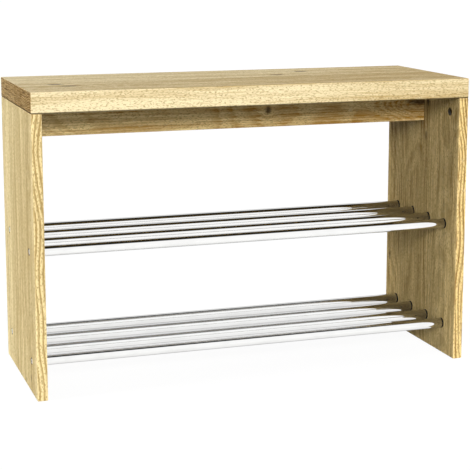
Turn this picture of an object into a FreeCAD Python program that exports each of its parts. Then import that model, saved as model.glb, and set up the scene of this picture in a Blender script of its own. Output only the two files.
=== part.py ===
import FreeCAD, Part
import math
import os
from types import SimpleNamespace

import Sketcher

# Shoe bench: a thick oak seat on two oak side panels, with an oak rail under the seat
# and two racks of chromed steel tubes between the panels.
# The origin is on the floor under the middle of the bench. X runs along the seat,
# Y runs from the front to the back, and Z is up. All lengths are in millimetres.

# Driving dimensions: name, value and meaning
SIZES = (
    ("bench_length", 800, "outside, panel to panel"),
    ("bench_depth", 300, "front edge to back edge"),
    ("bench_height", 525, "floor to the top of the seat"),
    ("seat_thickness", 36, "solid oak slab"),
    ("panel_thickness", 18, "each side panel"),
    ("rail_thickness", 18, "rail under the middle of the seat"),
    ("rail_height", 56, "rail, below the seat"),
    ("arris_radius", 1.5, "rounding along every board edge"),
    ("tube_diameter", 18, "outside of each tube"),
    ("tube_wall", 1, "wall of each tube"),
    ("tube_edge_distance", 50, "board edge to the axis of the first and last tube"),
    ("lower_rack_height", 57, "floor to the axes of the lower tubes"),
    ("rack_spacing", 192, "lower tubes to upper tubes"),
    ("socket_web", 6.6, "wood left between a tube socket and the bolt head"),
    ("socket_clearance", 0.3, "radial gap round a tube in its socket"),
    ("tube_end_play", 0.5, "gap at each end of a tube that is not bolted"),
    ("bolt_diameter", 6, "shank of a tube bolt"),
    ("bolt_length", 24, "tube bolt, under the head"),
    ("bolt_head_diameter", 10.5, "button head"),
    ("bolt_head_height", 3.3, "button head"),
    ("bolt_head_rim", 0.9, "straight side of the button head, below its dome"),
    ("bolt_key_width", 4, "hexagon socket, across flats"),
    ("bolt_key_depth", 2, "hexagon socket"),
    ("bolt_head_margin", 1.75, "radial gap round a bolt head in its recess"),
    ("bolt_head_sink", 0.1, "bolt head below the panel's outer face"),
    ("plug_length", 25, "threaded plug in a bolted tube's end"),
    ("fit_clearance", 0.1, "radial gap of a fixing in its hole"),
    ("hole_end_gap", 1, "gap past the end of a fixing in its hole"),
    ("fixing_skin", 6, "wood left behind a fixing hole in a panel"),
    ("lead_chamfer", 1, "chamfer on the ends of turned pieces"),
    ("cam_diameter", 15, "cam that pulls two boards together"),
    ("cam_edge_distance", 28, "board edge to the cam's axis"),
    ("cam_setback", 37, "front or back edge to a seat cam's axis"),
    ("cam_wall", 2.2, "hooked wall of the cam"),
    ("cam_bore_gap", 0.3, "gap under a cam and round the head inside it"),
    ("cam_cross_length", 8, "cross recess in the cam's face"),
    ("cam_cross_width", 1.6, "cross recess in the cam's face"),
    ("cam_cross_depth", 2.2, "cross recess in the cam's face"),
    ("cam_bolt_diameter", 6, "shank and thread of a cam bolt"),
    ("cam_collar_overhang", 0.8, "collar that seats on the board, beyond the shank"),
    ("cam_collar_height", 3, "collar that seats on the board"),
    ("cam_neck_diameter", 4, "neck in the cam's slot"),
    ("cam_head_diameter", 6.5, "head inside the cam"),
    ("cam_head_height", 3, "head inside the cam"),
    ("dowel_diameter", 8, "beech dowel"),
    ("dowel_spacing", 32, "seat cam to the dowel beside it"),
    ("dowel_seat_depth", 12, "dowel in the seat"),
    ("dowel_edge_depth", 18, "dowel in the edge of a panel or rail"),
    ("rail_dowel_inset", 10, "rail edge to the axis of an end dowel"),
    ("rail_dowel_offset", 200, "middle of the rail to a dowel up into the seat"),
)

RACKS = ("lower", "upper")
TUBE_ROWS = ("front", "second", "third", "rear")
BOLTED_ROWS = ("front", "rear")
SIDES = {"left": -1, "right": 1}
ENDS = {"front": -1, "rear": 1}

Vector = FreeCAD.Vector
Rotation = FreeCAD.Rotation
ALONG_X = Rotation()
AGAINST_X = Rotation(Vector(0, 0, 1), 180)
UPWARD = Rotation(Vector(0, 1, 0), -90)
HOOK_UP = Rotation(Vector(1, 0, 0), 90)

# Which point of a sketch element a constraint holds, and which element holds the sketch's origin
POINT = {"start": 1, "end": 2, "centre": 3}
ORIGIN = {"element": -1, "point": POINT["start"]}

NECK_SLOT_ANGLE = 190
HEXAGON_ANGLES = [math.radians(turn) for turn in range(0, 360, 60)]

doc = FreeCAD.newDocument("shoe_bench")
sheet = doc.addObject("Spreadsheet::Sheet", "sizes")
pieces = []


class Formula:
    """A length worked out from the sheet: the text goes into expressions, the value starts a sketch."""

    def __init__(self, text, value):
        self.text = text
        self.value = value

    def __add__(self, other):
        other = formula(other)
        return Formula(f"({self.text} + {other.text})", self.value + other.value)

    def __sub__(self, other):
        other = formula(other)
        return Formula(f"({self.text} - {other.text})", self.value - other.value)

    def __mul__(self, factor):
        return Formula(f"({self.text} * {float(factor)})", self.value * factor)

    def __truediv__(self, divisor):
        return Formula(f"({self.text} / {float(divisor)})", self.value / divisor)

    def __neg__(self):
        return self * -1


def formula(item):
    """A plain number as a formula, and a formula as it is."""
    return item if isinstance(item, Formula) else Formula(str(float(item)), float(item))


def half_chord(radius, offset):
    """Half the chord that crosses a circle at this offset from its centre."""
    value = (radius.value**2 - offset.value**2) ** 0.5
    return Formula(f"sqrt(({radius.text})^2 - ({offset.text})^2)", value)


def fill_sheet():
    """Writes the driving dimensions into the sheet and gives them back as formulas."""
    for row, (name, value, meaning) in enumerate(SIZES, start=1):
        sheet.set(f"A{row}", name)
        sheet.set(f"B{row}", str(value))
        sheet.setAlias(f"B{row}", name)
        sheet.set(f"C{row}", meaning)
    doc.recompute()
    found = {name: Formula(f"sizes.{name}", float(sheet.get(name))) for name, _, _ in SIZES}
    return SimpleNamespace(**found)


s = fill_sheet()
ZERO = formula(0)

# Places and sizes that more than one piece shares
inner_length = s.bench_length - s.panel_thickness * 2
panel_height = s.bench_height - s.seat_thickness
panel_middle_x = (s.bench_length - s.panel_thickness) / 2
bolt_recess_depth = s.bolt_head_height + s.bolt_head_sink
bolt_recess_diameter = s.bolt_head_diameter + s.bolt_head_margin * 2
bolt_hole_diameter = s.bolt_diameter + s.fit_clearance * 2
socket_depth = s.panel_thickness - s.socket_web - bolt_recess_depth
socket_diameter = s.tube_diameter + s.socket_clearance * 2
tube_length = inner_length + socket_depth * 2
tube_bore = s.tube_diameter - s.tube_wall * 2
tube_pitch = (s.bench_depth - s.tube_edge_distance * 2) / (len(TUBE_ROWS) - 1)
rack_height = {"lower": s.lower_rack_height, "upper": s.lower_rack_height + s.rack_spacing}
fixing_depth = s.panel_thickness - s.fixing_skin
thread_length = fixing_depth - s.hole_end_gap
thread_hole_diameter = s.cam_bolt_diameter + s.fit_clearance * 2
cam_collar_diameter = s.cam_bolt_diameter + s.cam_collar_overhang * 2
shank_hole_diameter = cam_collar_diameter + s.fit_clearance * 2
cam_bore_diameter = s.cam_diameter + s.fit_clearance * 2
cam_inner_radius = s.cam_diameter / 2 - s.cam_wall
head_room = s.cam_head_diameter / 2 + s.cam_bore_gap
dowel_hole_diameter = s.dowel_diameter + s.fit_clearance * 2
seat_cam_y = s.bench_depth / 2 - s.cam_setback
seat_dowel_y = seat_cam_y - s.dowel_spacing
rail_middle_z = panel_height - s.rail_height / 2
rail_dowel_z = s.rail_height / 2 - s.rail_dowel_inset


def tube_y(row):
    """Depth of a tube's axis, from the middle of the bench."""
    return tube_pitch * TUBE_ROWS.index(row) + s.tube_edge_distance - s.bench_depth / 2


def cam_depth(board_thickness):
    """Depth of a cam whose bolt runs in the middle of the board."""
    return board_thickness / 2 + head_room


# Helpers for sketches and features


def bind(item, path, length):
    item.setExpression(path, length.text)


def new_body(label):
    body = doc.addObject("PartDesign::Body", label)
    body.Label = label
    pieces.append(body)
    return body


def origin_part(body, role):
    return next(item for item in body.Origin.OriginFeatures if item.Role == role)


def place(body, x, y, z, rotation=ALONG_X):
    body.Placement = FreeCAD.Placement(Vector(), rotation)
    for axis, length in zip("xyz", (x, y, z)):
        bind(body, f"Placement.Base.{axis}", formula(length))


def sketch_on(body, name, role, offset):
    """An empty sketch on one of the body's origin planes, moved along that plane's normal."""
    sketch = body.newObject("Sketcher::SketchObject", name)
    sketch.AttachmentSupport = [(origin_part(body, role), "")]
    sketch.MapMode = "FlatFace"
    bind(sketch, "AttachmentOffset.Base.z", offset)
    return sketch


def pin(sketch, geometry, point, x, y):
    """Holds one point of a sketch at x, y from the sketch's origin."""
    for kind, length in (("DistanceX", x), ("DistanceY", y)):
        ends = (ORIGIN["element"], ORIGIN["point"], geometry, point)
        index = sketch.addConstraint(Sketcher.Constraint(kind, *ends, length.value))
        bind(sketch, f"Constraints[{index}]", length)


def outline(body, name, role, corners, offset=ZERO):
    """A closed sketch of straight lines through the corners."""
    sketch = sketch_on(body, name, role, offset)
    points = [Vector(x.value, y.value, 0) for x, y in corners]
    for index, point in enumerate(points):
        sketch.addGeometry(Part.LineSegment(point, points[(index + 1) % len(points)]), False)
    for index, (x, y) in enumerate(corners):
        following = (index + 1) % len(corners)
        ends = (index, POINT["end"], following, POINT["start"])
        sketch.addConstraint(Sketcher.Constraint("Coincident", *ends))
        pin(sketch, index, POINT["start"], x, y)
    return sketch


def rectangle(body, name, role, low, high, offset=ZERO):
    """A rectangle between two opposite corners."""
    corners = (low, (high[0], low[1]), high, (low[0], high[1]))
    return outline(body, name, role, corners, offset)


def add_circle(sketch, x, y, diameter):
    circle = Part.Circle(Vector(x.value, y.value, 0), Vector(0, 0, 1), diameter.value / 2)
    geometry = sketch.addGeometry(circle, False)
    pin(sketch, geometry, POINT["centre"], x, y)
    index = sketch.addConstraint(Sketcher.Constraint("Diameter", geometry, diameter.value))
    bind(sketch, f"Constraints[{index}]", diameter)


def circles(body, name, role, centres, diameter, offset=ZERO):
    """Equal circles round the centres."""
    sketch = sketch_on(body, name, role, offset)
    for x, y in centres:
        add_circle(sketch, x, y, diameter)
    return sketch


def pad(body, sketch, length):
    """Raises the sketch along its normal."""
    feature = body.newObject("PartDesign::Pad", f"{sketch.Name}_pad")
    feature.Profile = sketch
    bind(feature, "Length", length)
    doc.recompute()
    return feature


def turn(body, sketch):
    """Turns the sketch a full turn about the body's X axis."""
    feature = body.newObject("PartDesign::Revolution", f"{sketch.Name}_turned")
    feature.Profile = sketch
    feature.ReferenceAxis = (origin_part(body, "X_Axis"), [""])
    feature.Angle = 360
    doc.recompute()
    return feature


def cut_less(feature, volume_before):
    """Stops if a cut took nothing away."""
    doc.recompute()
    if not feature.Shape.Volume < volume_before:
        raise RuntimeError(f"{feature.Name} cuts nothing")


def pocket(body, sketch, depth, along_normal=False):
    """Cuts the sketch into the body, against its normal unless along_normal is set."""
    doc.recompute()
    before = body.Shape.Volume
    feature = body.newObject("PartDesign::Pocket", f"{sketch.Name}_cut")
    feature.Profile = sketch
    feature.Reversed = along_normal
    bind(feature, "Length", depth)
    cut_less(feature, before)


def groove(body, sketch, angle):
    """Cuts the sketch round the body's X axis, half the angle to each side of the sketch."""
    doc.recompute()
    before = body.Shape.Volume
    feature = body.newObject("PartDesign::Groove", f"{sketch.Name}_groove")
    feature.Profile = sketch
    feature.ReferenceAxis = (origin_part(body, "X_Axis"), [""])
    feature.Angle = angle
    feature.Midplane = True
    cut_less(feature, before)


def round_edges(body, feature, edges, radius):
    rounding = body.newObject("PartDesign::Fillet", f"{feature.Name}_rounding")
    rounding.Base = (feature, edges)
    bind(rounding, "Radius", radius)
    doc.recompute()


def round_all_edges(body, feature):
    """Eases every edge of a sawn board."""
    edges = [f"Edge{number}" for number in range(1, len(feature.Shape.Edges) + 1)]
    round_edges(body, feature, edges, s.arris_radius)


def board(body, name, low, high, thickness, role):
    """A board with eased edges, raised from a rectangle on an origin plane."""
    raised = pad(body, rectangle(body, f"{name}_outline", role, low, high), thickness)
    round_all_edges(body, raised)


# Boards


def make_seat():
    """Solid oak slab. Its underside takes the cam bolts and dowels of the panels and the rail."""
    body = new_body("seat_top")
    half = (s.bench_length / 2, s.bench_depth / 2)
    board(body, "seat", (-half[0], -half[1]), half, s.seat_thickness, "XY_Plane")
    cam_bolts = [(panel_middle_x * i, seat_cam_y * j) for i in (-1, 1) for j in (-1, 1)]
    holes = circles(body, "seat_cam_bolt_holes", "XY_Plane", cam_bolts, thread_hole_diameter)
    pocket(body, holes, fixing_depth, along_normal=True)
    dowels = [(panel_middle_x * i, seat_dowel_y * j) for i in (-1, 1) for j in (-1, 1)]
    dowels += [(s.rail_dowel_offset * i, ZERO) for i in (-1, 1)]
    holes = circles(body, "seat_dowel_holes", "XY_Plane", dowels, dowel_hole_diameter)
    pocket(body, holes, s.dowel_seat_depth + s.hole_end_gap, along_normal=True)
    place(body, 0, 0, panel_height)


def make_side_panel(side):
    """Side panel, drawn with its outer face at x = 0 and its inner face towards +X.

    The panel is the same front to back, so the right one is the left one turned half round.
    """
    name = f"{side}_panel"
    body = new_body(f"{side}_side_panel")
    half_depth = s.bench_depth / 2
    board(body, name, (-half_depth, ZERO), (half_depth, panel_height), s.panel_thickness, "YZ_Plane")
    inner_face = s.panel_thickness

    bolted = [(tube_y(row), rack_height[rack]) for rack in RACKS for row in BOLTED_ROWS]
    loose = [
        (tube_y(row), rack_height[rack])
        for rack in RACKS
        for row in TUBE_ROWS
        if row not in BOLTED_ROWS
    ]
    holes = circles(body, f"{name}_bolted_sockets", "YZ_Plane", bolted, socket_diameter, inner_face)
    pocket(body, holes, socket_depth)
    holes = circles(body, f"{name}_loose_sockets", "YZ_Plane", loose, socket_diameter, inner_face)
    pocket(body, holes, socket_depth + s.tube_end_play)
    holes = circles(body, f"{name}_bolt_holes", "YZ_Plane", bolted, bolt_hole_diameter)
    pocket(body, holes, s.panel_thickness, along_normal=True)
    holes = circles(body, f"{name}_bolt_recesses", "YZ_Plane", bolted, bolt_recess_diameter)
    pocket(body, holes, bolt_recess_depth, along_normal=True)

    cams = [(seat_cam_y * j, panel_height - s.cam_edge_distance) for j in (-1, 1)]
    holes = circles(body, f"{name}_cam_bores", "YZ_Plane", cams, cam_bore_diameter, inner_face)
    pocket(body, holes, cam_depth(s.panel_thickness) + s.cam_bore_gap)
    shanks = [(s.panel_thickness / 2, seat_cam_y * j) for j in (-1, 1)]
    holes = circles(body, f"{name}_shank_holes", "XY_Plane", shanks, shank_hole_diameter, panel_height)
    pocket(body, holes, s.cam_edge_distance)
    dowels = [(s.panel_thickness / 2, seat_dowel_y * j) for j in (-1, 1)]
    holes = circles(body, f"{name}_dowel_holes", "XY_Plane", dowels, dowel_hole_diameter, panel_height)
    pocket(body, holes, s.dowel_edge_depth + s.hole_end_gap)

    rail_bolt = [(ZERO, rail_middle_z)]
    holes = circles(body, f"{name}_rail_bolt", "YZ_Plane", rail_bolt, thread_hole_diameter, inner_face)
    pocket(body, holes, fixing_depth)
    dowels = [(ZERO, rail_middle_z + rail_dowel_z * k) for k in (-1, 1)]
    holes = circles(body, f"{name}_rail_dowels", "YZ_Plane", dowels, dowel_hole_diameter, inner_face)
    pocket(body, holes, fixing_depth)
    place(body, s.bench_length / 2 * SIDES[side], 0, 0, ALONG_X if side == "left" else AGAINST_X)


def make_rail():
    """Rail on edge under the middle of the seat, with its cams in the rear face."""
    body = new_body("seat_rail")
    half = (inner_length / 2, s.rail_thickness / 2)
    board(body, "rail", (-half[0], -half[1]), half, s.rail_height, "XY_Plane")
    middle_z = s.rail_height / 2

    cams = [((half[0] - s.cam_edge_distance) * i, middle_z) for i in (-1, 1)]
    holes = circles(body, "rail_cam_bores", "XZ_Plane", cams, cam_bore_diameter, -half[1])
    pocket(body, holes, cam_depth(s.rail_thickness) + s.cam_bore_gap, along_normal=True)
    end_dowels = [(ZERO, middle_z + rail_dowel_z * k) for k in (-1, 1)]
    for side, sign in SIDES.items():
        end = half[0] * sign
        at_left = side == "left"
        holes = circles(body, f"rail_{side}_shank", "YZ_Plane", [(ZERO, middle_z)], shank_hole_diameter, end)
        pocket(body, holes, s.cam_edge_distance, along_normal=at_left)
        holes = circles(body, f"rail_{side}_dowels", "YZ_Plane", end_dowels, dowel_hole_diameter, end)
        pocket(body, holes, s.dowel_edge_depth + s.hole_end_gap, along_normal=at_left)
    seat_dowels = [(s.rail_dowel_offset * i, ZERO) for i in (-1, 1)]
    holes = circles(body, "rail_seat_dowels", "XY_Plane", seat_dowels, dowel_hole_diameter, s.rail_height)
    pocket(body, holes, s.dowel_edge_depth + s.hole_end_gap)
    place(body, 0, 0, panel_height - s.rail_height)


# Racks


def make_tube(rack, row):
    """Chromed steel tube, held in a blind socket in each panel."""
    label = f"{rack}_{row}_tube"
    body = new_body(label)
    sketch = sketch_on(body, f"{label}_section", "YZ_Plane", tube_length / -2)
    for diameter in (s.tube_diameter, tube_bore):
        add_circle(sketch, ZERO, ZERO, diameter)
    pad(body, sketch, tube_length)
    place(body, 0, tube_y(row), rack_height[rack])


def make_plug(rack, row, side):
    """Threaded plug pressed into the end of a bolted tube, flush with that end at x = 0."""
    label = f"{rack}_{row}_tube_{side}_plug"
    body = new_body(label)
    outer = tube_bore / 2 - s.fit_clearance
    bore = bolt_hole_diameter / 2
    corners = (
        (ZERO, bore),
        (ZERO, outer),
        (s.plug_length - s.lead_chamfer, outer),
        (s.plug_length, outer - s.lead_chamfer),
        (s.plug_length, bore),
    )
    turn(body, outline(body, f"{label}_profile", "XY_Plane", corners))
    end_x = tube_length / 2 * SIDES[side]
    place(body, end_x, tube_y(row), rack_height[rack], ALONG_X if side == "left" else AGAINST_X)


def make_tube_bolt(rack, row, side):
    """Button-head bolt through a side panel into a tube's plug, with its bearing face at x = 0."""
    label = f"{side}_{rack}_{row}_tube_bolt"
    body = new_body(label)
    shank = s.bolt_diameter / 2
    head = s.bolt_head_diameter / 2
    corners = (
        (-s.bolt_head_height, ZERO),
        (-s.bolt_head_height, head),
        (ZERO, head),
        (ZERO, shank),
        (s.bolt_length - s.lead_chamfer, shank),
        (s.bolt_length, shank - s.lead_chamfer),
        (s.bolt_length, ZERO),
    )
    turned = turn(body, outline(body, f"{label}_profile", "XY_Plane", corners))
    round_edges(body, turned, [head_rim(turned)], s.bolt_head_height - s.bolt_head_rim)
    key_radius = s.bolt_key_width / 2 / math.cos(math.pi / len(HEXAGON_ANGLES))
    corners = [(key_radius * math.cos(turn), key_radius * math.sin(turn)) for turn in HEXAGON_ANGLES]
    key = outline(body, f"{label}_key", "YZ_Plane", corners, -s.bolt_head_height)
    pocket(body, key, s.bolt_key_depth, along_normal=True)
    bearing_x = (s.bench_length / 2 - bolt_recess_depth) * SIDES[side]
    place(body, bearing_x, tube_y(row), rack_height[rack], ALONG_X if side == "left" else AGAINST_X)


def head_rim(turned):
    """Name of the edge round the outer face of a bolt's head: the widest circle furthest out."""
    edges = list(enumerate(turned.Shape.Edges, start=1))
    rim = min(edges, key=lambda item: (item[1].BoundBox.XMax, -item[1].BoundBox.YLength))
    return f"Edge{rim[0]}"


# Fixings between the boards


def make_cam(label, board_thickness, x, y, z, rotation):
    """Cam with a hooked wall round the head of its bolt.

    Its face is at x = 0 and looks along +X, and the bolt comes in along +Y.
    """
    body = new_body(label)
    radius = s.cam_diameter / 2
    depth = cam_depth(board_thickness)
    cover = board_thickness / 2 - head_room
    corners = (
        (ZERO, ZERO),
        (ZERO, radius),
        (-depth, radius),
        (-depth, cam_inner_radius),
        (-cover, cam_inner_radius),
        (-cover, ZERO),
    )
    turn(body, outline(body, f"{label}_profile", "XY_Plane", corners))

    slot_half = s.cam_neck_diameter / 2 + s.cam_bore_gap
    bolt_x = board_thickness / -2
    low = (bolt_x - slot_half, cam_inner_radius - s.cam_wall / 2)
    high = (bolt_x + slot_half, radius + s.cam_wall / 2)
    groove(body, rectangle(body, f"{label}_neck_slot", "XY_Plane", low, high), NECK_SLOT_ANGLE)
    low = (-depth - s.cam_bore_gap, -head_room)
    high = (-cover, head_room)
    pocket(body, rectangle(body, f"{label}_head_window", "XY_Plane", low, high), s.cam_diameter)

    long, short = s.cam_cross_length / 2, s.cam_cross_width / 2
    cross = (
        (long, -short),
        (long, short),
        (short, short),
        (short, long),
        (-short, long),
        (-short, short),
        (-long, short),
        (-long, -short),
        (-short, -short),
        (-short, -long),
        (short, -long),
        (short, -short),
    )
    pocket(body, outline(body, f"{label}_cross", "YZ_Plane", cross), s.cam_cross_depth)
    place(body, x, y, z, rotation)


def make_cam_bolt(label, x, y, z, rotation):
    """Cam bolt: the thread runs along +X from the board's face at x = 0, the head lies in the cam."""
    body = new_body(label)
    shank = s.cam_bolt_diameter / 2
    collar = cam_collar_diameter / 2
    neck = s.cam_neck_diameter / 2
    head = s.cam_head_diameter / 2
    neck_start = -(s.cam_edge_distance - s.cam_diameter / 2 - s.cam_bore_gap)
    head_start = -(s.cam_edge_distance - half_chord(cam_inner_radius, head) + s.fit_clearance)
    head_end = head_start - s.cam_head_height
    corners = (
        (thread_length, ZERO),
        (thread_length, shank - s.lead_chamfer),
        (thread_length - s.lead_chamfer, shank),
        (ZERO, shank),
        (ZERO, collar),
        (-s.cam_collar_height, collar),
        (-s.cam_collar_height, shank),
        (neck_start, shank),
        (neck_start, neck),
        (head_start, neck),
        (head_start, head),
        (head_end, head),
        (head_end, ZERO),
    )
    turn(body, outline(body, f"{label}_profile", "XY_Plane", corners))
    place(body, x, y, z, rotation)


def make_dowel(label, near_depth, far_depth, x, y, z, rotation):
    """Chamfered dowel across a joint at x = 0, with far_depth along +X and near_depth along -X."""
    body = new_body(label)
    radius = s.dowel_diameter / 2
    tip = radius - s.lead_chamfer
    corners = (
        (-near_depth, ZERO),
        (-near_depth, tip),
        (-near_depth + s.lead_chamfer, radius),
        (far_depth - s.lead_chamfer, radius),
        (far_depth, tip),
        (far_depth, ZERO),
    )
    turn(body, outline(body, f"{label}_profile", "XY_Plane", corners))
    place(body, x, y, z, rotation)


def fix_seat_to_panels():
    """Two cams and two dowels join each panel to the seat."""
    for side, sign in SIDES.items():
        x = panel_middle_x * sign
        face_x = inner_length / 2 * sign
        turned = HOOK_UP if side == "left" else AGAINST_X.multiply(HOOK_UP)
        for end, way in ENDS.items():
            y = seat_cam_y * way
            cam_z = panel_height - s.cam_edge_distance
            name = f"{side}_{end}_seat"
            make_cam(f"{name}_cam", s.panel_thickness, face_x, y, cam_z, turned)
            make_cam_bolt(f"{name}_cam_bolt", x, y, panel_height, UPWARD)
            depths = (s.dowel_edge_depth, s.dowel_seat_depth)
            make_dowel(f"{name}_dowel", *depths, x, seat_dowel_y * way, panel_height, UPWARD)


def fix_rail():
    """A cam and two dowels hold each end of the rail, and two dowels locate it under the seat."""
    for side, sign in SIDES.items():
        x = inner_length / 2 * sign
        outward = AGAINST_X if side == "left" else ALONG_X
        cam_x = (inner_length / 2 - s.cam_edge_distance) * sign
        rear_face = Rotation(Vector(0, 1, 0), Vector(sign, 0, 0), Vector(), "XYZ")
        make_cam(f"{side}_rail_cam", s.rail_thickness, cam_x, s.rail_thickness / 2, rail_middle_z, rear_face)
        make_cam_bolt(f"{side}_rail_cam_bolt", x, 0, rail_middle_z, outward)
        for height, way in (("lower", -1), ("upper", 1)):
            z = rail_middle_z + rail_dowel_z * way
            make_dowel(f"{side}_{height}_rail_dowel", s.dowel_edge_depth, thread_length, x, 0, z, outward)
        depths = (s.dowel_edge_depth, s.dowel_seat_depth)
        make_dowel(f"{side}_rail_seat_dowel", *depths, s.rail_dowel_offset * sign, 0, panel_height, UPWARD)


def check_model():
    """Stops if any object failed to compute or any piece is not a valid solid."""
    doc.recompute()
    for item in doc.Objects:
        if "Invalid" in item.State or "Error" in item.State:
            raise RuntimeError(f"{item.Label} did not compute: {item.State}")
    for piece in pieces:
        shape = piece.Shape
        if shape.isNull() or not shape.isValid() or len(shape.Solids) != 1:
            raise RuntimeError(f"{piece.Label} is not one valid solid")


def export_pieces():
    os.makedirs("parts", exist_ok=True)
    for piece in pieces:
        piece.Shape.exportStep(os.path.join("parts", f"{piece.Label}.step"))


make_seat()
for side_name in SIDES:
    make_side_panel(side_name)
make_rail()
for rack_name in RACKS:
    for row_name in TUBE_ROWS:
        make_tube(rack_name, row_name)
    for row_name in BOLTED_ROWS:
        for side_name in SIDES:
            make_plug(rack_name, row_name, side_name)
            make_tube_bolt(rack_name, row_name, side_name)
fix_seat_to_panels()
fix_rail()
check_model()
export_pieces()
print(f"{len(pieces)} pieces written")
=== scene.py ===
import math

import bmesh
import bpy
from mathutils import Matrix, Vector


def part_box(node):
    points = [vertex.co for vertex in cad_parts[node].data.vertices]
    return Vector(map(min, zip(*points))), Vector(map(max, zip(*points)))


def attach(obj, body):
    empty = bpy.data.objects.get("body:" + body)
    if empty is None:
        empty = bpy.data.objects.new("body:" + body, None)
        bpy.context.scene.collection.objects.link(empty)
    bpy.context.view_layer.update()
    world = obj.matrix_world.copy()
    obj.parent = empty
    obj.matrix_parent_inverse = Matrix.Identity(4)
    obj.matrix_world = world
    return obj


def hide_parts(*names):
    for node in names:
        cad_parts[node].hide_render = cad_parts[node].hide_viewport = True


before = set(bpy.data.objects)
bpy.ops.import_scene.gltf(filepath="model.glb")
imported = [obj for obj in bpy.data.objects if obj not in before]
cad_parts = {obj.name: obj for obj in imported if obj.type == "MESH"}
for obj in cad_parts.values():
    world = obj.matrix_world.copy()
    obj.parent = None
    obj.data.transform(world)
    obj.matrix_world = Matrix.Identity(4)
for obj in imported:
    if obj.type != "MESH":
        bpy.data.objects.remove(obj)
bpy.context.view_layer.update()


# Seat: a 36 mm slab of oak staves glued edge to edge, planed flat, its edges eased by hand and oiled matt.
# It lies across the tops of both side panels, flush with them, and four cams pull it down.
# Its grain runs along the bench, so both short ends show the darker end grain.
def add_node(tree, kind, inputs, **settings):
    """One shader node; an input is a plain value or another node's output."""
    made = tree.nodes.new("ShaderNode" + kind)
    for name, value in settings.items():
        setattr(made, name, value)
    for socket, value in inputs.items():
        if isinstance(value, bpy.types.NodeSocket):
            tree.links.new(value, made.inputs[socket])
        else:
            made.inputs[socket].default_value = value
    return made


def calc(tree, operation, *values):
    """One step of arithmetic on numbers."""
    return add_node(tree, "Math", dict(enumerate(values)), operation=operation).outputs[0]


def calc_vector(tree, operation, *vectors):
    """One step of arithmetic on vectors."""
    return add_node(tree, "VectorMath", dict(enumerate(vectors)), operation=operation).outputs[0]


def split(tree, vector):
    """The three parts of a vector."""
    return add_node(tree, "SeparateXYZ", {0: vector}).outputs


def join(tree, *parts):
    """A vector from its parts."""
    return add_node(tree, "CombineXYZ", dict(enumerate(parts))).outputs[0]


def fade(tree, value, start, end, low=0.0, high=1.0):
    """Eases from low to high as the value goes from start to end."""
    inputs = {"Value": value, "From Min": start, "From Max": end, "To Min": low, "To Max": high}
    return add_node(tree, "MapRange", inputs, interpolation_type="SMOOTHSTEP").outputs[0]


def mix_colour(tree, share, first, second, blend="MIX"):
    """Two colours mixed by a share from 0 to 1; the Mix node takes them at its sockets 6 and 7."""
    inputs = {0: share, 6: first, 7: second}
    return add_node(tree, "Mix", inputs, data_type="RGBA", blend_type=blend).outputs[2]


def patches(tree, place, length, width, detail=2.0):
    """Noise in patches about that long along the first axis and that wide across it, in metres."""
    scaled = calc_vector(tree, "MULTIPLY", place, (1 / length, 1 / width, 1 / width))
    return add_node(tree, "TexNoise", {"Vector": scaled, "Scale": 1.0, "Detail": detail}).outputs[0]


def new_group(name, inputs, outputs):
    """An empty node group, its inputs, and the node that takes its outputs."""
    tree = bpy.data.node_groups.new(name, "ShaderNodeTree")
    for socket, kind in inputs.items():
        tree.interface.new_socket(socket, in_out="INPUT", socket_type="NodeSocket" + kind)
    for socket, kind in outputs.items():
        tree.interface.new_socket(socket, in_out="OUTPUT", socket_type="NodeSocket" + kind)
    return tree, tree.nodes.new("NodeGroupInput").outputs, tree.nodes.new("NodeGroupOutput")


def put_out(tree, end, **values):
    """Links what a group has worked out to its named outputs."""
    for socket, value in values.items():
        tree.links.new(value, end.inputs[socket])


def srgb(red, green, blue):
    """A screen colour, 0 to 255, as the shader's linear colour."""
    parts = [value / 255 for value in (red, green, blue)]
    return tuple(p / 12.92 if p < 0.04045 else ((p + 0.055) / 1.055) ** 2.4 for p in parts) + (1.0,)


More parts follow.
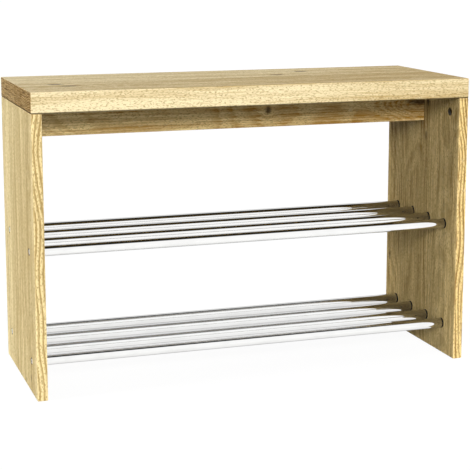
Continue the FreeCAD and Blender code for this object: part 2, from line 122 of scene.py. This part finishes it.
def make_oak_grain():
    """Oak cut from staves: growth rings round a pith below each stave, streaks, fibres, pores and rays."""
    tree, given, end = new_group(
        "oak_grain",
        {
            "Board": "Vector",
            "Facing": "Vector",
            "Stave Width": "Float",
            "Ring Width": "Float",
            "Edge Rings": "Float",
            "Pith Depth": "Float",
            "Lean": "Float",
            "Drift": "Float",
            "Streaks": "Float",
            "Seed": "Float",
            "Pale": "Color",
            "Deep": "Color",
        },
        {"Colour": "Color", "Roughness": "Float", "Height": "Float"},
    )
    along, across, through = split(tree, given["Board"])

    # Which way the surface faces: a cut end, an edge or a broad face of the board
    facing_end, facing_edge, facing_flat = split(tree, calc_vector(tree, "ABSOLUTE", given["Facing"]))
    turned_from, turned_to = 0.55, 0.90
    end_grain = fade(tree, facing_end, turned_from, turned_to)
    board_edge = fade(tree, facing_edge, turned_from, turned_to)

    def by_face(flat, edge):
        """A share that differs between the board's broad faces and its edges."""
        return fade(tree, board_edge, 0.0, 1.0, flat, edge)

    # Each stave comes from another part of the trunk, with a pith and a tone of its own
    stave_spread = (9, 9, 9)
    staves_across = calc(tree, "DIVIDE", across, given["Stave Width"])
    stave = calc(tree, "FLOOR", staves_across)
    luck_inputs = {"Vector": join(tree, stave, given["Seed"])}
    luck = add_node(tree, "TexWhiteNoise", luck_inputs, noise_dimensions="2D").outputs["Color"]
    luck_offset, luck_depth, luck_tone = split(tree, luck)
    place = calc_vector(tree, "MULTIPLY_ADD", luck, stave_spread, given["Board"])

    # Growth rings: distance from the pith, which wanders and leans as a real trunk does
    pith_offset = 0.060
    pith_depth_spread = 0.080
    wander = 0.030
    middle = calc(tree, "MULTIPLY", calc(tree, "ADD", stave, 0.5), given["Stave Width"])
    sideways = calc(tree, "SUBTRACT", across, middle)
    sideways = calc(tree, "MULTIPLY_ADD", calc(tree, "SUBTRACT", luck_offset, 0.5), pith_offset, sideways)
    sway = calc(tree, "SUBTRACT", patches(tree, place, length=0.22, width=0.045, detail=0.0), 0.5)
    sideways = calc(tree, "MULTIPLY_ADD", sway, wander, sideways)
    below = calc(tree, "MULTIPLY_ADD", luck_depth, pith_depth_spread, given["Pith Depth"])
    below = calc(tree, "ADD", below, through)
    below = calc(tree, "MULTIPLY_ADD", along, given["Lean"], below)
    heave = calc(tree, "SUBTRACT", patches(tree, place, length=0.13, width=0.070, detail=0.0), 0.5)
    below = calc(tree, "MULTIPLY_ADD", heave, wander, below)
    squares = calc(tree, "MULTIPLY_ADD", below, below, calc(tree, "MULTIPLY", sideways, sideways))
    rings = calc(tree, "DIVIDE", calc(tree, "SQRT", squares), given["Ring Width"])

    # The rings waver, but less on the cut ends and on edges that show them strongly
    edge_calm = -0.67
    flat_waver, end_waver = 0.9, 0.2
    waver = patches(tree, place, length=0.020, width=0.0025)
    waver_share = fade(tree, end_grain, 0.0, 1.0, flat_waver, end_waver)
    edge_rings = calc(tree, "MULTIPLY", board_edge, given["Edge Rings"])
    waver_share = calc(tree, "MULTIPLY_ADD", edge_rings, edge_calm, waver_share)
    rings = calc(tree, "MULTIPLY_ADD", waver, waver_share, rings)

    # A year's ring darkens slowly through its late wood and stops short at the winter
    flat_rings, end_rings = 0.35, 0.90
    year = calc(tree, "FRACT", rings)
    late_wood = calc(tree, "MULTIPLY", fade(tree, year, 0.25, 0.85), fade(tree, year, 1.0, 0.90))
    ring_share = calc(tree, "MULTIPLY_ADD", board_edge, given["Edge Rings"], flat_rings)
    ring_share = calc(tree, "MULTIPLY_ADD", end_grain, end_rings, ring_share)

    # Streaks, fibres, open pores in the early wood, and the pale flecks of the rays
    contrast = (0.32, 0.68)
    closed_pores = 0.6
    streaks = fade(tree, patches(tree, place, length=0.60, width=0.016, detail=3.0), *contrast)
    bands = fade(tree, patches(tree, place, length=0.30, width=0.0065, detail=3.0), *contrast)
    fibres = fade(tree, patches(tree, place, length=0.16, width=0.0030, detail=3.0), *contrast)
    threads = fade(tree, patches(tree, place, length=0.030, width=0.0010), *contrast)
    dashes = fade(tree, patches(tree, place, length=0.0045, width=0.0018, detail=1.0), 0.51, 0.65)
    open_share = calc(tree, "SUBTRACT", 1.0, calc(tree, "MULTIPLY", late_wood, closed_pores))
    pores = calc(tree, "MULTIPLY", dashes, open_share)
    flecks = fade(tree, patches(tree, place, length=0.012, width=0.0035, detail=1.0), 0.60, 0.74)

    # A glue line shows where two staves meet
    joint_width = 0.0005
    from_middle = calc(tree, "ABSOLUTE", calc(tree, "SUBTRACT", calc(tree, "FRACT", staves_across), 0.5))
    from_joint = calc(tree, "MULTIPLY", calc(tree, "SUBTRACT", 0.5, from_middle), given["Stave Width"])
    joint = fade(tree, from_joint, joint_width, joint_width / 4)

    # How deep the colour is, from pale at 0 to deep at 1; each feature adds its share
    plain_depth = -0.62
    edge_depth = -0.10
    streak_share = 0.42
    thread_share = 0.18
    stave_share = 0.45
    joint_share = 0.45
    depth = calc(tree, "MULTIPLY_ADD", along, given["Drift"], plain_depth)
    depth = calc(tree, "MULTIPLY_ADD", board_edge, edge_depth, depth)
    depth = calc(tree, "MULTIPLY_ADD", late_wood, ring_share, depth)
    broad = calc(tree, "MULTIPLY", bands, by_face(flat=0.52, edge=0.20))
    broad = calc(tree, "MULTIPLY_ADD", streaks, streak_share, broad)
    depth = calc(tree, "MULTIPLY_ADD", broad, given["Streaks"], depth)
    depth = calc(tree, "MULTIPLY_ADD", fibres, by_face(flat=0.42, edge=0.25), depth)
    depth = calc(tree, "MULTIPLY_ADD", threads, thread_share, depth)
    depth = calc(tree, "MULTIPLY_ADD", luck_tone, stave_share, depth)
    depth = calc(tree, "MULTIPLY_ADD", joint, joint_share, depth)
    colour = mix_colour(tree, depth, given["Pale"], given["Deep"])

    # Rays are paler than the wood round them, and pores darker
    fleck_share = 0.25
    fleck_colour = srgb(240, 226, 188)
    clear = (1, 1, 1, 1)
    pore_tint = (0.46, 0.38, 0.24, 1)
    colour = mix_colour(tree, calc(tree, "MULTIPLY", flecks, fleck_share), colour, fleck_colour)
    pore_share = calc(tree, "MULTIPLY", pores, by_face(flat=0.65, edge=0.75))
    colour = mix_colour(tree, 1.0, colour, mix_colour(tree, pore_share, clear, pore_tint), "MULTIPLY")

    # End grain drinks the oil and is darker, most of all in rows of pores; eased edges are rubbed paler,
    # and the paler colour is also a painted highlight where the rounded arris catches the light
    end_ring_share = 0.4
    end_tint = (1.00, 0.86, 0.67, 1)
    end_pore_tint = (0.36, 0.265, 0.175, 1)
    eased_wear_and_highlight_share = 0.20
    eased_wear_and_highlight_colour = srgb(236, 214, 168)
    end_place = join(tree, across, through, along)
    pore_rows = fade(tree, patches(tree, end_place, length=0.040, width=0.0014), 0.49, 0.63)
    end_dark = calc(tree, "MAXIMUM", pore_rows, calc(tree, "MULTIPLY", late_wood, end_ring_share))
    end_shade = mix_colour(tree, end_dark, end_tint, end_pore_tint)
    end_colour = mix_colour(tree, 1.0, colour, end_shade, "MULTIPLY")
    colour = mix_colour(tree, end_grain, colour, end_colour)
    flattest = calc(tree, "MAXIMUM", calc(tree, "MAXIMUM", facing_end, facing_edge), facing_flat)
    eased = fade(tree, flattest, 0.98, 0.80)
    colour = mix_colour(tree, calc(tree, "MULTIPLY", eased, eased_wear_and_highlight_share), colour, eased_wear_and_highlight_colour)

    # Pores and end grain are rougher than the planed face, and eased edges smoother
    planed_roughness = 0.58
    pore_roughness = 0.16
    end_roughness = 0.12
    eased_roughness = -0.08
    roughness = calc(tree, "MULTIPLY_ADD", pores, pore_roughness, planed_roughness)
    roughness = calc(tree, "MULTIPLY_ADD", end_grain, end_roughness, roughness)
    roughness = calc(tree, "MULTIPLY_ADD", eased, eased_roughness, roughness)

    # Late wood and threads stand proud of the face, and pores are pits in it
    late_wood_height = 0.35
    thread_height = 0.25
    pore_height = -1.0
    height = calc(tree, "MULTIPLY", late_wood, late_wood_height)
    height = calc(tree, "MULTIPLY_ADD", threads, thread_height, height)
    height = calc(tree, "MULTIPLY_ADD", pores, pore_height, height)
    put_out(tree, end, Colour=colour, Roughness=roughness, Height=height)
    return tree


def make_oak_mark():
    """A knot, with the grain bent round its dark heart, or a flame, where the rings swell and nest; the
    dark heart also paints shade into a corner, as a painted shade mark.
    """
    bend = -0.75
    raggedness = 0.9
    heart_from, heart_to = 1.25, 0.45
    tree, given, end = new_group(
        "oak_mark",
        {
            "Board": "Vector",
            "Centre": "Vector",
            "Length": "Float",
            "Width": "Float",
            "Swell": "Float",
            "Heart": "Float",
        },
        {"Board": "Vector", "Dark": "Float"},
    )
    along, across, _ = split(tree, calc_vector(tree, "SUBTRACT", given["Board"], given["Centre"]))
    length_share = calc(tree, "DIVIDE", along, given["Length"])
    width_share = calc(tree, "DIVIDE", across, given["Width"])
    length_squared = calc(tree, "MULTIPLY", length_share, length_share)
    reach = calc(tree, "MULTIPLY_ADD", width_share, width_share, length_squared)

    # Near follows a bell curve, 1 at the centre
    near = calc(tree, "EXPONENT", calc(tree, "MULTIPLY", reach, -0.5))
    pull = calc(tree, "MULTIPLY", calc(tree, "MULTIPLY", near, bend), across)
    pull = calc(tree, "MULTIPLY", pull, given["Heart"])
    swell = calc(tree, "MULTIPLY", near, given["Swell"])
    board = calc_vector(tree, "ADD", given["Board"], join(tree, 0.0, pull, swell))
    splinters = patches(tree, given["Board"], length=0.010, width=0.002)
    ragged = calc(tree, "MULTIPLY_ADD", splinters, raggedness, reach)
    dark = calc(tree, "MULTIPLY", fade(tree, ragged, heart_from, heart_to), given["Heart"])
    put_out(tree, end, Board=board, Dark=dark)
    return tree


oak_grain = make_oak_grain()
oak_mark = make_oak_mark()


def oak_material(name, grain_axes, origin, knots_and_shade_marks=(), flames=(), fuzz=0.0, **grain_values):
    """Oiled oak; grain_axes names the object's axes along, across and through the board.

    A knot, or a dark mark of painted shade, is its centre along and across, its length and its width.
    A flame also has the height of its swell, and no dark heart.
    Fuzz is how much the raised fibres scatter light back to where it came from.
    """
    dark_mark_share = 0.85
    dark_mark_colour = srgb(58, 38, 22)
    no_swell = 0.0
    no_heart = 0.0
    full_heart = 1.0
    gloss = 0.10
    relief = {"Strength": 0.35, "Distance": 0.0004}
    material = bpy.data.materials.new(name)
    material.use_nodes = True
    tree = material.node_tree
    object_place = add_node(tree, "TexCoord", {}).outputs
    places = split(tree, calc_vector(tree, "SUBTRACT", object_place["Object"], origin))
    facings = split(tree, object_place["Normal"])
    order = ["XYZ".index(axis) for axis in grain_axes]
    board = join(tree, *(places[axis] for axis in order))
    facing = join(tree, *(facings[axis] for axis in order))
    dark = 0.0
    marks = [(*knot, no_swell, full_heart) for knot in knots_and_shade_marks]
    marks += [(*flame, no_heart) for flame in flames]
    for centre, length, width, swell, heart in marks:
        inputs = {"Centre": (*centre, 0), "Length": length, "Width": width, "Swell": swell, "Heart": heart}
        mark = add_node(tree, "Group", {"Board": board, **inputs}, node_tree=oak_mark).outputs
        board = mark["Board"]
        dark = calc(tree, "MAXIMUM", dark, mark["Dark"])
    inputs = {"Board": board, "Facing": facing}
    for key, value in grain_values.items():
        inputs[key.replace("_", " ").title()] = value
    grain = add_node(tree, "Group", inputs, node_tree=oak_grain).outputs
    colour = mix_colour(tree, calc(tree, "MULTIPLY", dark, dark_mark_share), grain["Colour"], dark_mark_colour)
    bump = add_node(tree, "Bump", {"Height": grain["Height"], **relief}).outputs[0]
    surface = tree.nodes["Principled BSDF"]
    surface.inputs["Specular IOR Level"].default_value = gloss
    surface.inputs["Diffuse Roughness"].default_value = fuzz
    tree.links.new(colour, surface.inputs["Base Color"])
    tree.links.new(grain["Roughness"], surface.inputs["Roughness"])
    tree.links.new(bump, surface.inputs["Normal"])
    return material


def dress(node_name, material):
    """Gives a CAD node its finished material in place of the plain one."""
    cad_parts[node_name].data.materials[0] = material


seat_low, seat_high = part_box("seat_top")
stave_width = 0.100
seat_joint = 0.003
seat_knots = (
    ((-0.335, -0.030), 0.021, 0.012),
    ((-0.317, -0.062), 0.023, 0.013),
    ((0.094, 0.025), 0.019, 0.011),
    ((0.162, 0.080), 0.020, 0.012),
)
seat_oak = oak_material(
    "oak_seat",
    "XYZ",
    (0, seat_joint, seat_high.z),
    seat_knots,
    stave_width=stave_width,
    ring_width=0.0038,
    edge_rings=-0.10,
    pith_depth=0.25,
    lean=0.03,
    drift=0.50,
    streaks=1.0,
    seed=269.0,
    pale=srgb(236, 220, 178),
    deep=srgb(180, 152, 95),
)
dress("seat_top", seat_oak)

# Painted shade darkens the underside and runs up the lowest edge all round, where it shows as a thin dark
# line
painted_shade_full = 0.0018
painted_shade_top = 0.0030
painted_shade_colour = (0.25, 0.24, 0.20, 1)
seat_tree = seat_oak.node_tree
seat_colour = seat_tree.nodes["Principled BSDF"].inputs["Base Color"]
oiled = seat_colour.links[0].from_socket
seat_place = add_node(seat_tree, "TexCoord", {}).outputs["Object"]
above_underside = calc(seat_tree, "SUBTRACT", split(seat_tree, seat_place)[2], seat_low.z)
painted_shade_mask = fade(seat_tree, above_underside, painted_shade_top, painted_shade_full)
seat_tree.links.new(mix_colour(seat_tree, painted_shade_mask, oiled, painted_shade_colour, "MULTIPLY"), seat_colour)


# Side panels: 18 mm oak boards glued up from upright staves, which stand on the floor and carry the seat.
# Each has blind sockets inside for the tubes, bolt recesses outside, and bored seats for the cams.
# They are planed but sanded less than the seat, so their raised fibres scatter the light.
panel_joint = 0.072
planed_fuzz = 0.80
left_low, left_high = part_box("left_side_panel")
right_low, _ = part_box("right_side_panel")
left_marks = (
    ((0.025, -0.166), 0.010, 0.004),
    ((0.008, -0.118), 0.008, 0.003),
)
left_flames = (((0.020, -0.113), 0.085, 0.026, 0.034),)
right_marks_and_corner_shade = (
    ((0.1405, 0.062), 0.014, 0.004),
    ((0.405, -0.090), 0.014, 0.004),
    # The last mark is painted shade in the corner under the seat, beside the rail's end
    ((0.476, -0.096), 0.020, 0.008),
)
left_oak = oak_material(
    "oak_left_panel",
    "ZYX",
    (left_low.x, panel_joint, 0),
    left_marks,
    left_flames,
    planed_fuzz,
    stave_width=stave_width,
    ring_width=0.0072,
    edge_rings=0.90,
    pith_depth=0.06,
    lean=0.04,
    drift=-0.05,
    streaks=1.0,
    seed=38.0,
    pale=srgb(237, 220, 169),
    deep=srgb(185, 159, 103),
)
right_oak = oak_material(
    "oak_right_panel",
    "ZYX",
    (right_low.x, panel_joint, 0),
    right_marks_and_corner_shade,
    fuzz=planed_fuzz,
    stave_width=stave_width,
    ring_width=0.0066,
    edge_rings=0.60,
    pith_depth=0.06,
    lean=0.03,
    # A drift of 0.20 deepens the colour towards the top, as painted shade under the seat
    drift=0.20,
    streaks=0.40,
    seed=23.0,
    pale=srgb(237, 213, 151),
    deep=srgb(149, 115, 55),
)
dress("left_side_panel", left_oak)
dress("right_side_panel", right_oak)


# Rail: an oak board on edge under the middle of the seat, which stiffens it and keeps the panels square.
# It butts between the panels on dowels, and a cam in its rear face at each end draws it up tight.
rail_low, rail_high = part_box("seat_rail")
rail_knots_and_corner_shade = (
    ((0.0644, -0.025), 0.008, 0.010),
    # The second mark is painted shade, a dark patch in the corner under the seat at the rail's right end
    ((0.372, -0.018), 0.040, 0.012),
)
rail_flames = (((0.370, -0.022), 0.060, 0.014, 0.022),)
rail_oak = oak_material(
    "oak_rail",
    "XZY",
    (0, rail_low.y, rail_high.z),
    rail_knots_and_corner_shade,
    rail_flames,
    stave_width=0.150,
    ring_width=0.0050,
    edge_rings=0.40,
    pith_depth=0.12,
    lean=0.04,
    drift=0.60,
    streaks=0.50,
    seed=7.0,
    pale=srgb(242, 218, 158),
    deep=srgb(166, 121, 48),
)
dress("seat_rail", rail_oak)


# Rack tubes: eight thin steel tubes, drawn, polished and chromed, four to a rack.
# Each end sits in a blind socket; the front and rear tubes are bolted, and the two between them can turn.
def lathe(name, profile, start, steps=96):
    """A closed ring turned about the X axis from (along, radius) points, set at start."""
    shape = bmesh.new()
    rings = []
    for along, radius in profile:
        ring = []
        for step in range(steps):
            angle = 2 * math.pi * step / steps
            ring.append(shape.verts.new((along, radius * math.cos(angle), radius * math.sin(angle))))
        rings.append(ring)
    for ring, following in zip(rings, rings[1:] + rings[:1]):
        for step in range(steps):
            ahead = (step + 1) % steps
            shape.faces.new((ring[step], ring[ahead], following[ahead], following[step]))
    bmesh.ops.recalc_face_normals(shape, faces=shape.faces)
    mesh = bpy.data.meshes.new(name)
    shape.to_mesh(mesh)
    shape.free()
    mesh.shade_smooth()
    made = bpy.data.objects.new(name, mesh)
    made.location = start
    bpy.context.scene.collection.objects.link(made)
    return made


def tube_profile(length, radius, wall):
    """Outside, rounded lip, bore and the other lip, with support rings that keep the long runs straight."""
    lip = wall / 2
    lip_steps = 6
    near_support, far_support = 0.003, 0.020
    profile = []
    for end, turn in ((0.0, 1), (length, -1)):
        arc = []
        for step in range(lip_steps + 1):
            angle = math.pi * step / lip_steps
            arc.append((end + turn * lip * (1 - math.sin(angle)), radius - lip - lip * math.cos(angle)))
        inner = [(end + turn * reach, radius - wall) for reach in (far_support, near_support)]
        outer = [(end + turn * reach, radius) for reach in (near_support, far_support)]
        half = inner + arc + outer
        profile += half if turn == 1 else half[::-1]
    return profile


def make_handled_metal():
    """Faint smudges, polishing lines and tiny pits, as on any plated metal that has been handled."""
    pit_wear = 0.6
    pit_height = -1.0
    tree, given, end = new_group(
        "handled_metal",
        {"Place": "Vector", "Smooth": "Float", "Smudged": "Float", "Clean": "Color", "Dulled": "Color"},
        {"Colour": "Color", "Roughness": "Float", "Height": "Float"},
    )
    smudges = fade(tree, patches(tree, given["Place"], length=0.040, width=0.014, detail=4.0), 0.45, 0.72)
    lines = patches(tree, given["Place"], length=0.110, width=0.0006)
    pits = fade(tree, patches(tree, given["Place"], length=0.0011, width=0.0011, detail=0.0), 0.70, 0.80)
    wear = calc(tree, "MAXIMUM", smudges, calc(tree, "MULTIPLY", pits, pit_wear))
    spread = calc(tree, "SUBTRACT", given["Smudged"], given["Smooth"])
    roughness = calc(tree, "MULTIPLY_ADD", wear, spread, given["Smooth"])
    colour = mix_colour(tree, wear, given["Clean"], given["Dulled"])
    height = calc(tree, "MULTIPLY_ADD", pits, pit_height, lines)
    put_out(tree, end, Colour=colour, Roughness=roughness, Height=height)
    return tree


handled_metal = make_handled_metal()


def grey(level):
    """A plain grey as a shader colour."""
    return (level, level, level, 1)


def metal_material(name, smooth, smudged, clean, dulled, relief, rim):
    """A plated metal, with the roughness and colour of its clean and its smudged parts.

    Relief is the depth of its lines and pits in metres, and rim how bright it stays when seen aslant.
    """
    bump_strength = 0.2
    material = bpy.data.materials.new(name)
    material.use_nodes = True
    tree = material.node_tree
    surface = tree.nodes["Principled BSDF"]
    surface.inputs["Metallic"].default_value = 1.0
    surface.inputs["Specular Tint"].default_value = grey(rim)
    place = add_node(tree, "TexCoord", {}).outputs["Object"]
    inputs = {"Place": place, "Smooth": smooth, "Smudged": smudged, "Clean": clean, "Dulled": dulled}
    finish = add_node(tree, "Group", inputs, node_tree=handled_metal).outputs
    bump_inputs = {"Strength": bump_strength, "Distance": relief, "Height": finish["Height"]}
    bump = add_node(tree, "Bump", bump_inputs).outputs[0]
    tree.links.new(finish["Colour"], surface.inputs["Base Color"])
    tree.links.new(finish["Roughness"], surface.inputs["Roughness"])
    tree.links.new(bump, surface.inputs["Normal"])
    return material


racks = ("lower", "upper")
tube_rows = ("front", "second", "third", "rear")
turning_rows = ("second", "third")
tube_wall = 0.001
chrome = metal_material(
    "chrome",
    smooth=0.008,
    smudged=0.035,
    clean=(0.96, 0.96, 0.95, 1),
    dulled=(0.91, 0.91, 0.90, 1),
    relief=0.0000008,
    rim=0.30,
)
for rack in racks:
    for row in tube_rows:
        node_name = f"{rack}_{row}_tube"
        tube_low, tube_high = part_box(node_name)
        tube_length = tube_high.x - tube_low.x
        tube_radius = (tube_high.z - tube_low.z) / 2
        middle = (tube_low + tube_high) / 2
        tube = lathe(
            f"{node_name}_chromed",
            tube_profile(tube_length, tube_radius, tube_wall),
            Vector((tube_low.x, middle.y, middle.z)),
        )
        tube.data.materials.append(chrome)
        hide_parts(node_name)
        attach(tube, node_name if row in turning_rows else "bench_frame")


# Tube collars: a thin black ring round each end of a tube, tight against the panel.
# It is painted shade, standing for the shadow in the gap at the socket's edge.
def make_shade_black():
    """A fine matt black, painted shade for the gaps at the tube sockets and the bolt recesses."""
    material = bpy.data.materials.new("shade_black")
    material.use_nodes = True
    tree = material.node_tree
    surface = tree.nodes["Principled BSDF"]
    surface.inputs["Specular IOR Level"].default_value = 0.05
    place = add_node(tree, "TexCoord", {}).outputs["Object"]
    texture = patches(tree, place, length=0.0005, width=0.0005, detail=1.0)
    colour = mix_colour(tree, texture, srgb(20, 18, 16), srgb(34, 31, 28))
    roughness = fade(tree, texture, 0.3, 0.7, low=0.38, high=0.52)
    tree.links.new(colour, surface.inputs["Base Color"])
    tree.links.new(roughness, surface.inputs["Roughness"])
    return material


collar_length = 0.0026
collar_stands_out = 0.0004
collar_rounding = 0.0002
shade_black = make_shade_black()
collar_starts = {"left": left_high.x, "right": right_low.x - collar_length}
for rack in racks:
    for row in tube_rows:
        node_name = f"{rack}_{row}_tube"
        tube_low, tube_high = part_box(node_name)
        middle = (tube_low + tube_high) / 2
        tube_radius = (tube_high.z - tube_low.z) / 2
        outside = tube_radius + collar_stands_out
        collar_profile = (
            (0, tube_radius),
            (0, outside - collar_rounding),
            (collar_rounding, outside),
            (collar_length - collar_rounding, outside),
            (collar_length, outside - collar_rounding),
            (collar_length, tube_radius),
        )
        for side, start in collar_starts.items():
            collar_place = Vector((start, middle.y, middle.z))
            collar = lathe(f"{node_name}_{side}_collar", collar_profile, collar_place)
            collar.data.materials.append(shade_black)
            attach(collar, node_name if row in turning_rows else "bench_frame")


# Tube bolts and plugs: button-head bolts go through the panels into threaded plugs in the tubes' ends.
# The nickel-plated heads sit in bored recesses, and a black ring round each one is painted shade for the
# shadow in the recess.
# The plugs are plain turned steel, pressed in and out of sight.
sides = ("left", "right")
bolted_rows = ("front", "rear")
nickel = metal_material(
    "nickel",
    smooth=0.16,
    smudged=0.30,
    clean=(0.92, 0.91, 0.88, 1),
    dulled=(0.82, 0.81, 0.78, 1),
    relief=0.00002,
    rim=1.0,
)
plug_steel = metal_material(
    "plug_steel",
    smooth=0.30,
    smudged=0.48,
    clean=(0.55, 0.55, 0.56, 1),
    dulled=(0.42, 0.42, 0.43, 1),
    relief=0.00004,
    rim=0.60,
)
recess_radius = 0.0070
ring_gap = 0.0001
ring_sink = 0.0002
ring_length = 0.0030
ring_rounding = 0.0002
ring_steps = 64
for side in sides:
    for rack in reversed(racks):
        for row in bolted_rows:
            bolt_name = f"{side}_{rack}_{row}_tube_bolt"
            dress(bolt_name, nickel)
            dress(f"{rack}_{row}_tube_{side}_plug", plug_steel)
            bolt_low, bolt_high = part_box(bolt_name)
            middle = (bolt_low + bolt_high) / 2
            head_face, inward = (bolt_low.x, 1) if side == "left" else (bolt_high.x, -1)
            inner_radius = (bolt_high.z - bolt_low.z) / 2 + ring_gap
            outer_radius = recess_radius - ring_gap
            ring_profile = [
                (inward * along, radius)
                for along, radius in (
                    (ring_sink, inner_radius + ring_rounding),
                    (ring_sink, outer_radius - ring_rounding),
                    (ring_sink + ring_rounding, outer_radius),
                    (ring_sink + ring_length, outer_radius),
                    (ring_sink + ring_length, inner_radius),
                    (ring_sink + ring_rounding, inner_radius),
                )
            ]
            ring_place = Vector((head_face, middle.y, middle.z))
            ring = lathe(f"{bolt_name}_ring", ring_profile, ring_place, ring_steps)
            ring.data.materials.append(shade_black)
            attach(ring, "bench_frame")


# Cams and cam bolts: zinc die castings let into the panels and the rail, turned with a screwdriver.
# Each grips the head of a zinc-plated bolt in the next board and draws the joint up tight.
# The zinc's dark colour is partly the metal's own and partly painted shade of the bores the cams sit in
zinc = metal_material(
    "zinc",
    smooth=0.22,
    smudged=0.40,
    clean=(0.17, 0.17, 0.165, 1),
    dulled=(0.09, 0.09, 0.085, 1),
    relief=0.00006,
    rim=0.30,
)
cam_places = [f"{side}_{row}_seat" for side in sides for row in bolted_rows]
cam_places += [f"{side}_rail" for side in sides]
for cam_place in cam_places:
    dress(f"{cam_place}_cam", zinc)
    dress(f"{cam_place}_cam_bolt", zinc)


# Dowels: turned beech pins glued into both boards of a joint, which keep it in line while the cam pulls.
# They are hidden inside the joints, pale, with the short brown flecks of beech.
beech_roughness = 0.55
fleck_roughness = 0.12
beech = bpy.data.materials.new("beech")
beech.use_nodes = True
beech_tree = beech.node_tree
beech_surface = beech_tree.nodes["Principled BSDF"]
beech_place = add_node(beech_tree, "TexCoord", {}).outputs["Object"]
beech_patches = patches(beech_tree, beech_place, length=0.003, width=0.0006, detail=1.0)
beech_flecks = fade(beech_tree, beech_patches, 0.58, 0.70)
beech_colour = mix_colour(beech_tree, beech_flecks, srgb(222, 188, 146), srgb(168, 122, 84))
beech_finish = calc(beech_tree, "MULTIPLY_ADD", beech_flecks, fleck_roughness, beech_roughness)
beech_tree.links.new(beech_colour, beech_surface.inputs["Base Color"])
beech_tree.links.new(beech_finish, beech_surface.inputs["Roughness"])
dowels = [f"{side}_{row}_seat_dowel" for side in sides for row in bolted_rows]
dowels += [f"{side}_{level}_rail_dowel" for side in sides for level in ("lower", "upper")]
dowels += [f"{side}_rail_seat_dowel" for side in sides]
for dowel in dowels:
    dress(dowel, beech)


# Floor and studio: a plain white floor that keeps the bench's soft shadow, white all round.
# The studio is dark overhead, which only reflections show.
# Soft lamps light the bench from the front, left and right, and a faint low one reaches in under the seat.
def seen_directly(tree):
    """One for rays that come from the camera, straight or by way of a mirror or glass.

    The light path's outputs are handed back as well.
    """
    path = add_node(tree, "LightPath", {}).outputs
    seen = calc(tree, "MAXIMUM", path["Is Camera Ray"], path["Is Glossy Ray"])
    seen = calc(tree, "MAXIMUM", seen, path["Is Transmission Ray"])
    unscattered = calc(tree, "LESS_THAN", path["Diffuse Depth"], 0.5)
    return calc(tree, "MULTIPLY", seen, unscattered), path


def floor_coat(tree, lamplit, glow):
    """A white that glows by itself; lamplit is the grey that the lamps add and a shadow takes away."""
    painted = add_node(tree, "BsdfDiffuse", {"Color": grey(lamplit)}).outputs[0]
    glowing = add_node(tree, "Emission", {"Color": grey(1.0), "Strength": glow}).outputs[0]
    return add_node(tree, "AddShader", {0: painted, 1: glowing}).outputs[0]


floor_reach = 30.0
floor_bounce = 0.20
floor_corners = [(x * floor_reach, y * floor_reach, 0) for x, y in ((-1, -1), (1, -1), (1, 1), (-1, 1))]
floor_mesh = bpy.data.meshes.new("floor")
floor_mesh.from_pydata(floor_corners, [], [(0, 1, 2, 3)])
floor = bpy.data.objects.new("floor", floor_mesh)
bpy.context.scene.collection.objects.link(floor)
floor_paint = bpy.data.materials.new("floor_paint")
floor_paint.use_nodes = True
floor_tree = floor_paint.node_tree
floor_tree.nodes.remove(floor_tree.nodes["Principled BSDF"])

# One look for the light that it throws back, one for the camera, and one for what mirrors it
bounce = add_node(floor_tree, "BsdfDiffuse", {"Color": grey(floor_bounce)}).outputs[0]
shown = floor_coat(floor_tree, lamplit=0.12, glow=0.93)
mirrored = floor_coat(floor_tree, lamplit=0.30, glow=0.76)
seen, path = seen_directly(floor_tree)
shown = add_node(floor_tree, "MixShader", {0: path["Is Camera Ray"], 1: mirrored, 2: shown}).outputs[0]
floor_surface = add_node(floor_tree, "MixShader", {0: seen, 1: bounce, 2: shown}).outputs[0]
floor_tree.links.new(floor_surface, floor_tree.nodes["Material Output"].inputs["Surface"])
floor_mesh.materials.append(floor_paint)

ambient = 0.10
white_strength = 1.0
dark_strength = 0.02
studio = bpy.data.worlds.new("studio")
studio.use_nodes = True
bpy.context.scene.world = studio
studio_tree = studio.node_tree
studio_light = studio_tree.nodes["Background"]
direction = add_node(studio_tree, "TexCoord", {}).outputs["Generated"]
rise = split(studio_tree, direction)[2]
overhead = fade(studio_tree, rise, 0.76, 0.86, white_strength, dark_strength)
seen, path = seen_directly(studio_tree)
reflected = calc(studio_tree, "SUBTRACT", seen, path["Is Camera Ray"])
seen_strength = add_node(studio_tree, "Mix", {0: reflected, 2: white_strength, 3: overhead}).outputs[0]
strength = add_node(studio_tree, "Mix", {0: seen, 2: ambient, 3: seen_strength}).outputs[0]
studio_light.inputs["Color"].default_value = grey(1.0)
studio_tree.links.new(strength, studio_light.inputs["Strength"])


def add_lamp(name, azimuth, elevation, level, spread):
    """A far, soft lamp, at angles in degrees; azimuth is to the right of straight in front.

    At level 1 it lights a surface that faces it fully.
    """
    lamp = bpy.data.lights.new(name, "SUN")
    lamp.energy = level * math.pi
    lamp.angle = math.radians(spread)
    made = bpy.data.objects.new(name, lamp)
    made.rotation_euler = (math.radians(90 - elevation), 0, math.radians(azimuth))
    made.visible_glossy = False
    bpy.context.scene.collection.objects.link(made)


add_lamp("front_lamp", azimuth=-6.5, elevation=20.5, level=1.07, spread=18)
add_lamp("low_lamp", azimuth=-6.5, elevation=3, level=0.16, spread=10)
add_lamp("left_lamp", azimuth=-90, elevation=32, level=0.50, spread=14)
add_lamp("right_lamp", azimuth=110, elevation=10, level=0.62, spread=24)

looks_down = 9.409
looks_right = 18.605
camera = bpy.data.cameras.new("camera")
camera.lens = 105.71
camera.sensor_width = 36.0
camera.shift_y = -0.12
camera_object = bpy.data.objects.new("camera", camera)
camera_object.location = (-0.7991, -2.3815, 0.7546)
camera_object.rotation_euler = (math.radians(90 - looks_down), 0, math.radians(-looks_right))
bpy.context.scene.collection.objects.link(camera_object)
bpy.context.scene.camera = camera_object
bpy.context.scene.view_settings.view_transform = "Standard"
